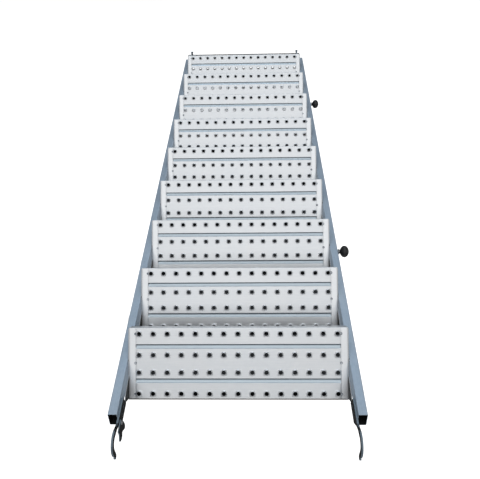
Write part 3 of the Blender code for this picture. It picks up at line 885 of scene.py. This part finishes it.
def make_floor(level):
    """Plain pale floor, wide enough to fill every view, that throws little light back up."""
    bm = bmesh.new()
    bmesh.ops.create_grid(bm, x_segments=2, y_segments=2, size=FLOOR_SIZE / 2)
    material, tree, shader = new_material("floor_pale")
    even = surface_coords(tree)
    colour = blend_colours(tree, noise(tree, even, 0.6, 2.0), (0.86, 0.86, 0.86), (0.90, 0.90, 0.90))
    seen = add_node(tree, "ShaderNodeLightPath").outputs["Is Camera Ray"]
    colour = blend_colours(tree, seen, FLOOR_BOUNCE, colour)
    tree.links.new(colour, shader.inputs["Base Color"])
    shader.inputs["Roughness"].default_value = 0.9
    shader.inputs["Specular IOR Level"].default_value = 0.0
    distance = add_node(tree, "ShaderNodeVectorMath", {0: even}, operation="LENGTH").outputs["Value"]
    glow = remap(tree, distance, GLOW_START, GLOW_FULL, 0.0, FLOOR_GLOW)
    tree.links.new(scaled(tree, glow, seen), shader.inputs["Emission Strength"])
    shader.inputs["Emission Color"].default_value = (*WHITE, 1.0)
    floor = bpy.data.objects.new("floor", finish_mesh(bm, "floor", material))
    bpy.context.scene.collection.objects.link(floor)
    centre = (CAD_BOX[0] + CAD_BOX[1]) / 2
    floor.location = (0.0, centre.y, level)
    return floor


def link_light(lamp, name, receivers):
    """Let a lamp light only the given objects."""
    group = bpy.data.collections.new(name)
    for obj in receivers:
        group.objects.link(obj)
    lamp.light_linking.receiver_collection = group


def add_panel(name, place, target, size, power, colour, receivers):
    """Soft rectangular light panel facing a target."""
    light = bpy.data.lights.new(name, "AREA")
    light.shape = "RECTANGLE"
    light.size, light.size_y = size
    light.energy = power
    light.color = colour
    lamp = bpy.data.objects.new(name, light)
    bpy.context.scene.collection.objects.link(lamp)
    lamp.location = place
    lamp.rotation_euler = (Vector(target) - Vector(place)).to_track_quat("-Z", "Y").to_euler()
    link_light(lamp, name + "_receivers", receivers)
    return lamp


def add_floor_lamp(place, power, floor, blockers):
    """Small lamp by the camera for the floor alone; only the treads shade it."""
    light = bpy.data.lights.new("floor_lamp", "POINT")
    light.energy = power
    light.shadow_soft_size = FLOOR_LAMP_RADIUS
    lamp = bpy.data.objects.new("floor_lamp", light)
    bpy.context.scene.collection.objects.link(lamp)
    lamp.location = place
    link_light(lamp, "floor_receivers", [floor])
    group = bpy.data.collections.new("floor_blockers")
    for obj in blockers:
        group.objects.link(obj)
    lamp.light_linking.blocker_collection = group


def make_world():
    """Dim surroundings, brighter where metal mirrors them, seen as a pale backdrop."""
    world = bpy.data.worlds.new("studio")
    world.use_nodes = True
    tree = world.node_tree
    background = tree.nodes["Background"]
    path = add_node(tree, "ShaderNodeLightPath")
    colour = blend_colours(tree, path.outputs["Is Glossy Ray"], WORLD_DIM, WORLD_MIRRORED)
    colour = blend_colours(tree, path.outputs["Is Camera Ray"], colour, WHITE)
    tree.links.new(colour, background.inputs["Color"])
    bpy.context.scene.world = world


def make_camera():
    """Camera above the top of the flight, looking almost straight down it."""
    low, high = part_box("tread_9")
    front_row = Vector((0.0, (low.y + high.y) / 2 + HOLE_ROWS[-1], high.z))
    camera = bpy.data.cameras.new("camera")
    camera.lens = CAMERA_LENS
    camera.sensor_width = SENSOR_WIDTH
    obj = bpy.data.objects.new("camera", camera)
    bpy.context.scene.collection.objects.link(obj)
    obj.location = front_row + CAMERA_OFFSET
    obj.rotation_mode = "QUATERNION"
    obj.rotation_quaternion = Matrix.Rotation(CAMERA_TURN.length, 3, CAMERA_TURN).to_quaternion()
    bpy.context.scene.camera = obj
    return obj


def make_lights(camera, floor):
    pieces = [o for o in bpy.context.scene.objects if o.type == "MESH" and o is not floor]
    aim = (CAD_BOX[0] + CAD_BOX[1]) / 2
    above = (0.0, aim.y + TOP_PANEL_AHEAD, TOP_PANEL_HEIGHT)
    add_panel("top_panel", above, aim, TOP_PANEL_SIZE, TOP_PANEL_POWER, WHITE, pieces)
    add_panel("front_panel", FRONT_PANEL_PLACE, aim, END_PANEL_SIZE, FRONT_PANEL_POWER, COOL, pieces)
    for x in (-SIDE_PANEL_X, SIDE_PANEL_X):
        beside = (x, aim.y, SIDE_PANEL_HEIGHT)
        add_panel("side_panel", beside, aim, SIDE_PANEL_SIZE, SIDE_PANEL_POWER, WHITE, pieces)
    add_panel("back_panel", BACK_PANEL_PLACE, aim, END_PANEL_SIZE, BACK_PANEL_POWER, WHITE, pieces)
    sheets = [o for o in pieces if o.name.endswith("_sheet")]
    add_floor_lamp(camera.location + FLOOR_LAMP_OFFSET, FLOOR_LAMP_POWER, floor, sheets)


# ---------------------------------------------------------------- assembly

def main():
    zinc = sheet_zinc()
    tube = tube_zinc()
    # Dark steels: near black as painted shade, paler where faces point up as painted light.
    plate = dark_steel("dark_plate_satin", (0.22, 0.28, 0.33))
    bracket = dark_steel("dark_plate_bracket", (0.72, 0.74, 0.76))
    rivet = dark_steel("dull_rivet", (0.10, 0.11, 0.12))
    steel = plated_steel()
    plastic = moulded_plastic()
    weld = weld_metal()
    make_treads(zinc, sheet_inside(), weld)
    make_beads(weld)
    make_rivets(rivet)
    make_inserts(steel)
    make_washers(steel)
    make_knobs(steel, plastic)
    dress_frame(tube, plate, bracket, steel)
    floor = make_floor(CAD_BOX[0].z - 0.002)
    camera = make_camera()
    make_world()
    make_lights(camera, floor)
    bpy.context.scene.view_settings.view_transform = "Standard"


main()
bpy.context.view_layer.update()
